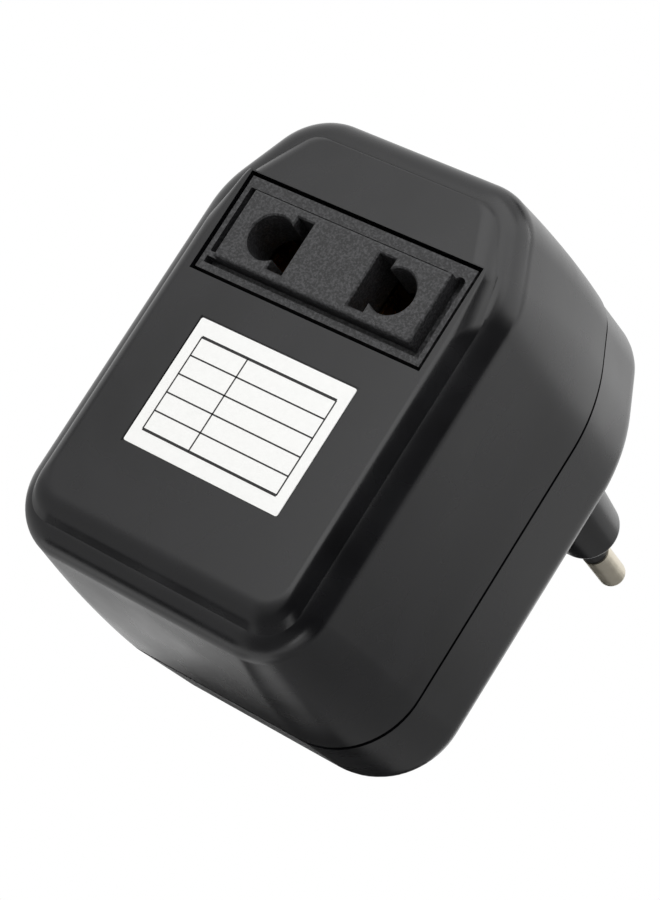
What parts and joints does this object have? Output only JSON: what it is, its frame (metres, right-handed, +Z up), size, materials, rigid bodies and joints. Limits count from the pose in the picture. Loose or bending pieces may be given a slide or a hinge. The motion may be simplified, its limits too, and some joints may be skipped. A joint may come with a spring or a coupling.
{
  "type": "travel voltage converter",
  "caption": "Black plug-in travel voltage converter: deep rounded case with a flat two-pin outlet in front, a two-pin plug behind and a voltage selector on top.",
  "frame": {"origin": "middle of the plug boss's flat end face, half way between the two pins", "axes": "+Y out of the plug boss along the pins, towards the wall; -Y the outlet side; +Z up in use; +X to the right seen from the outlet side"},
  "size_m": [0.0492, 0.0876, 0.0687],
  "materials": {
    "case_black": "moulded ABS, polished front, satin sides",
    "insert_black": "moulded heat-proof plastic, sparked surface",
    "holder_black": "moulded heat-proof plastic",
    "contact_brass": "stamped strip",
    "tag_tinned": "tinned",
    "pin_nickel": "nickel-plated brass, turned",
    "sleeve_black": "moulded",
    "core_steel": "varnished silicon-steel sheets",
    "bobbin_white": "moulded nylon",
    "copper_wire": "enamelled copper",
    "winding_film": "polyester film tape",
    "fuse_case": "drawn case",
    "screw_steel": "zinc-plated",
    "selector_red": "moulded",
    "wire_black": "PVC-insulated",
    "wire_blue": "PVC-insulated",
    "wire_red": "PVC-insulated",
    "label_white": "coated paper, self-adhesive"
  },
  "bodies": {
    "case": {"front_shell": "case_black", "rear_shell": "case_black", "outlet_insert": "insert_black", "contact_holder": "holder_black", "contact_right": "contact_brass", "contact_left": "contact_brass", "plug_pin_left": "pin_nickel", "plug_pin_right": "pin_nickel", "pin_sleeve_left": "sleeve_black", "pin_sleeve_right": "sleeve_black", "core_e": "core_steel", "core_i": "core_steel", "bobbin": "bobbin_white", "winding_inner": "copper_wire", "winding_tape": "winding_film", "winding_outer": "copper_wire", "winding_cover": "winding_film", "thermal_fuse": "fuse_case", "winding_tag_1": "tag_tinned", "winding_tag_2": "tag_tinned", "winding_tag_3": "tag_tinned", "case_screw_1": "screw_steel", "case_screw_2": "screw_steel", "case_screw_3": "screw_steel", "case_screw_4": "screw_steel", "holder_screw_1": "screw_steel", "holder_screw_2": "screw_steel", "switch_screw_1": "screw_steel", "switch_screw_2": "screw_steel", "switch_body": "holder_black", "switch_frame": "screw_steel", "switch_terminal_1": "contact_brass", "switch_terminal_2": "contact_brass", "switch_terminal_3": "contact_brass", "switch_terminal_4": "contact_brass", "switch_terminal_5": "contact_brass", "switch_terminal_6": "contact_brass", "jumper_1": "copper_wire", "jumper_2": "copper_wire", "wire_plug_switch": "wire_black", "wire_plug_common": "wire_blue", "wire_outlet_switch": "wire_black", "wire_outlet_common": "wire_blue", "wire_low_tap": "wire_red", "wire_high_tap": "wire_red", "rating_label": "label_white"},
    "selector": {"switch_slider": "selector_red"}
  },
  "joints": [
    {"name": "selector_slide", "type": "slide", "parent": "case", "child": "selector", "axis": [1, 0, 0], "range_m": [0, 0.004]}
  ]
}
